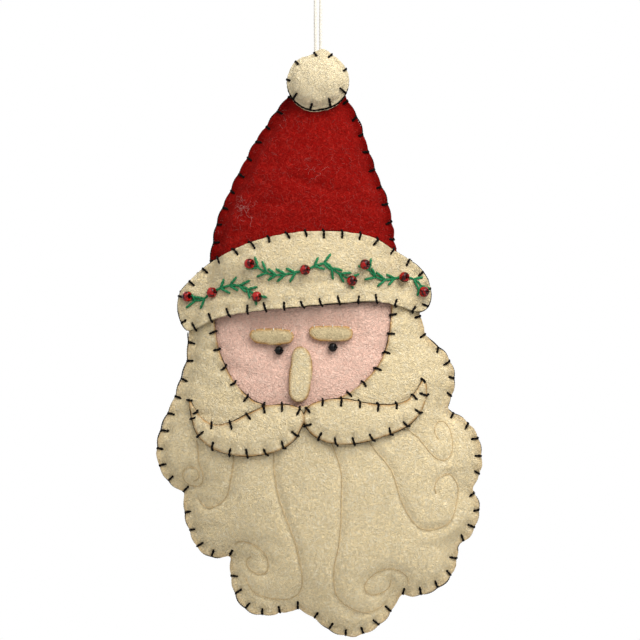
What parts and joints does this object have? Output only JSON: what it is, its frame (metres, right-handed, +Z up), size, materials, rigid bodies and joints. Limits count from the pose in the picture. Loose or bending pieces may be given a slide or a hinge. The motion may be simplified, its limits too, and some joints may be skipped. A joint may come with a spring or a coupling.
{
  "type": "felt ornament",
  "caption": "Flat stuffed felt ornament, a bearded winter head in a tall hat with an embroidered band and a pompom, on a hanging loop of cord.",
  "frame": {"origin": "inside top of the hanging loop, where it lies on a hook", "axes": "+Z up along the taut loop, +X to the right seen from the front, the face looks along -Y"},
  "size_m": [0.0863, 0.0274, 0.2118],
  "materials": {
    "felt_cream": "cream wool felt with a fine fibrous nap",
    "felt_red": "deep red wool felt with pale lint",
    "felt_pink": "flesh pink wool felt",
    "filling": "white polyester fibre filling",
    "thread_black": "black stranded cotton",
    "thread_green": "green stranded cotton with a soft sheen",
    "thread_tan": "fine tan sewing thread",
    "cord_white": "off-white twisted cotton cord",
    "glass_red": "glossy dark red glass",
    "glass_black": "glossy black glass"
  },
  "bodies": {
    "loop": {"hanging_loop": "cord_white"},
    "ornament": {"hat_front": "felt_red", "hat_back": "felt_red", "beard_front": "felt_cream", "beard_back": "felt_cream", "face_panel": "felt_pink", "hat_band_front": "felt_cream", "hat_band_back": "felt_cream", "stuffing": "filling", "moustache_left": "felt_cream", "moustache_right": "felt_cream", "nose": "felt_cream", "eyebrow_left": "felt_cream", "eyebrow_right": "felt_cream", "eye_bead_left": "glass_black", "eye_bead_right": "glass_black", "beard_edge_stitching": "thread_black", "hat_stitching_left": "thread_black", "hat_stitching_right": "thread_black", "hat_band_stitching_front": "thread_black", "hat_band_stitching_back": "thread_black", "moustache_stitching_left": "thread_black", "moustache_stitching_right": "thread_black", "window_stitching_left": "thread_black", "window_stitching_right": "thread_black", "vine_left": "thread_green", "vine_middle": "thread_green", "vine_right": "thread_green", "berry_bead_1": "glass_red", "berry_bead_2": "glass_red", "berry_bead_3": "glass_red", "berry_bead_4": "glass_red", "berry_bead_5": "glass_red", "berry_bead_6": "glass_red", "berry_bead_7": "glass_red", "berry_bead_8": "glass_red", "berry_bead_9": "glass_red", "beard_curl_1": "thread_tan", "beard_curl_2": "thread_tan", "beard_curl_3": "thread_tan", "beard_curl_4": "thread_tan", "beard_curl_5": "thread_tan", "beard_curl_6": "thread_tan", "beard_curl_7": "thread_tan", "beard_curl_8": "thread_tan", "pompom_back": "felt_cream", "pompom_stuffing": "filling", "pompom_front": "felt_cream", "pompom_stitching": "thread_black", "loop_tails": "cord_white"}
  },
  "joints": [
    {"name": "loop_fold", "type": "hinge", "parent": "loop", "child": "ornament", "pos_m": [0, 0, -0.06195], "axis": [1, 0, 0], "range_deg": [-10, 90]}
  ]
}
